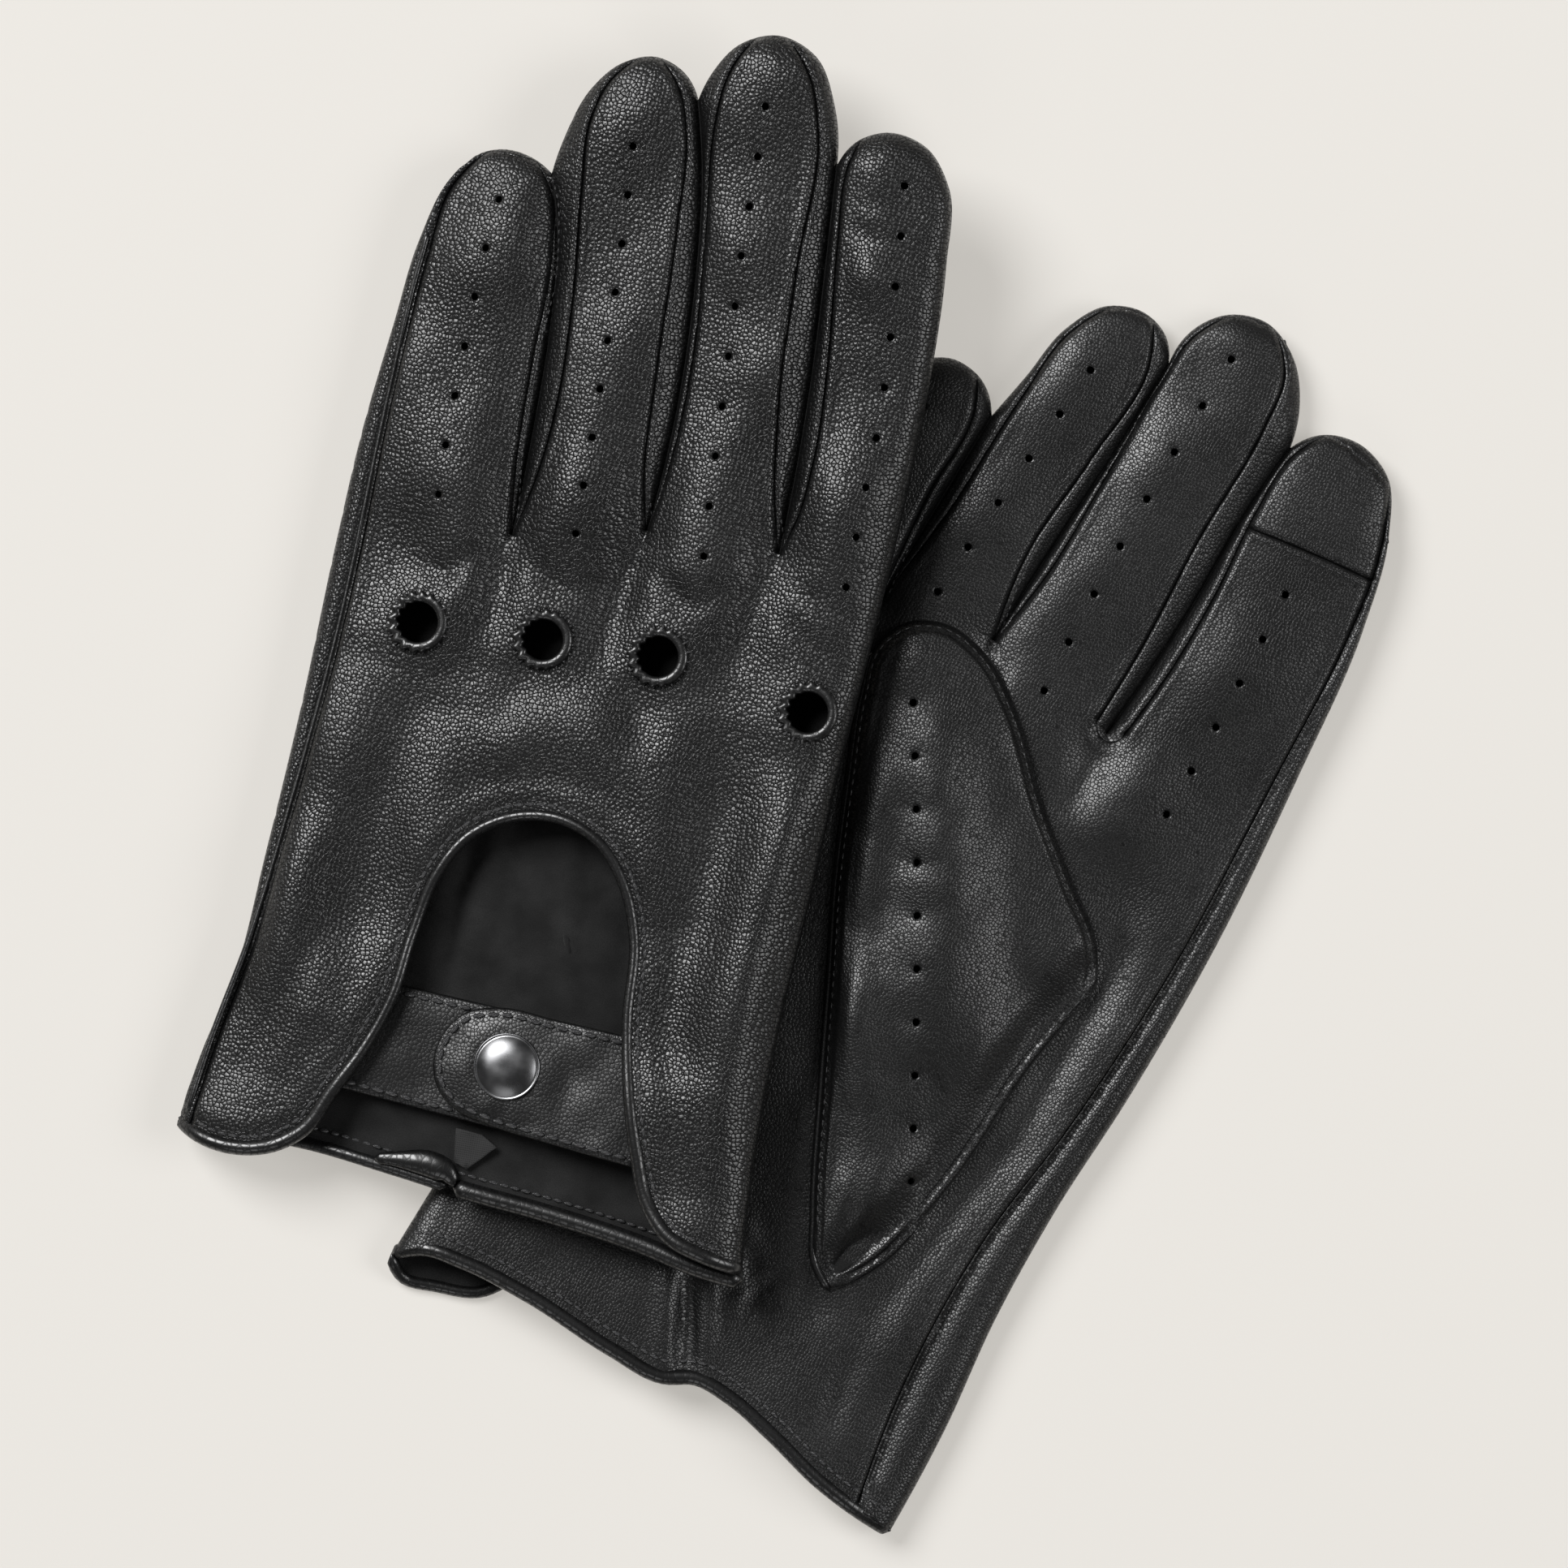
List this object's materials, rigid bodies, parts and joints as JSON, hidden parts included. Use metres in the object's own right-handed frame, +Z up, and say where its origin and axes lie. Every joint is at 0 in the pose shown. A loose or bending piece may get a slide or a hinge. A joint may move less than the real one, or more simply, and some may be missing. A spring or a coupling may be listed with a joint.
{
  "type": "leather driving gloves",
  "caption": "Pair of black leather driving gloves with knuckle holes, perforated fingers, a keyhole wrist opening and a snap strap, laid one across the other.",
  "frame": {"origin": "on the table plane, under the palm of the right glove near the middle of the pair", "axes": "+Y along the left glove from cuff to fingertips, +X from its little-finger side to its index side, +Z up from the table"},
  "size_m": [0.2037, 0.2676, 0.0287],
  "materials": {
    "back_leather": "soft satin full-grain sheepskin with a fine pebble grain",
    "palm_leather": "satin full-grain sheepskin with a finer grain",
    "binding_leather": "rolled glossy edge binding",
    "strap_leather": "folded satin leather with edge stitching",
    "snap_metal": "dark nickel with a fine brushed dome",
    "elastic": "woven elastic",
    "woven_tag": "woven satin tag"
  },
  "bodies": {
    "right_glove": {"right_back_panel": "back_leather", "right_palm_panel": "palm_leather", "right_fourchette_index_middle": "back_leather", "right_fourchette_middle_ring": "back_leather", "right_fourchette_ring_little": "back_leather", "right_touch_patch": "palm_leather", "right_knuckle_rims": "binding_leather", "right_keyhole_binding": "binding_leather", "right_back_cuff_binding": "binding_leather", "right_palm_cuff_binding": "binding_leather", "right_strap_base": "strap_leather", "right_strap_root": "strap_leather", "right_snap_stud": "snap_metal", "right_snap_post": "snap_metal", "right_wrist_elastic": "elastic"},
    "left_glove": {"left_back_panel": "back_leather", "left_palm_panel": "palm_leather", "left_fourchette_index_middle": "back_leather", "left_fourchette_middle_ring": "back_leather", "left_fourchette_ring_little": "back_leather", "left_touch_patch": "palm_leather", "left_thumb_inner": "palm_leather", "left_thumb_outer": "palm_leather", "left_knuckle_rims": "binding_leather", "left_keyhole_binding": "binding_leather", "left_back_cuff_binding": "binding_leather", "left_palm_cuff_binding": "binding_leather", "left_strap_base": "strap_leather", "left_strap_root": "strap_leather", "left_snap_stud": "snap_metal", "left_snap_post": "snap_metal", "left_wrist_elastic": "elastic", "left_size_tag": "woven_tag"},
    "left_tab": {"left_strap_tab": "strap_leather", "left_snap_cap": "snap_metal", "left_snap_socket": "snap_metal"},
    "right_tab": {"right_strap_tab": "strap_leather", "right_snap_cap": "snap_metal", "right_snap_socket": "snap_metal"},
    "right_thumb": {"right_thumb_inner": "palm_leather", "right_thumb_outer": "palm_leather"}
  },
  "joints": [
    {"name": "left_glove_lift", "type": "slide", "parent": "right_glove", "child": "left_glove", "axis": [0, 0, 1], "range_m": [0, 0.15]},
    {"name": "left_tab_open", "type": "hinge", "parent": "left_glove", "child": "left_tab", "pos_m": [-0.0224, -0.06432, 0.02242], "axis": [0.0016, 0.9999, -0.0103], "range_deg": [0, 130]},
    {"name": "right_tab_open", "type": "hinge", "parent": "right_glove", "child": "right_tab", "pos_m": [0.0239, -0.09491, 0.0019], "axis": [-0.309, -0.9511, 0], "range_deg": [0, 120]},
    {"name": "right_thumb_fold", "type": "hinge", "parent": "right_glove", "child": "right_thumb", "pos_m": [0.03536, -0.09716, 0.00815], "axis": [0.3997, 0.9166, 0], "range_deg": [0, 85]}
  ]
}
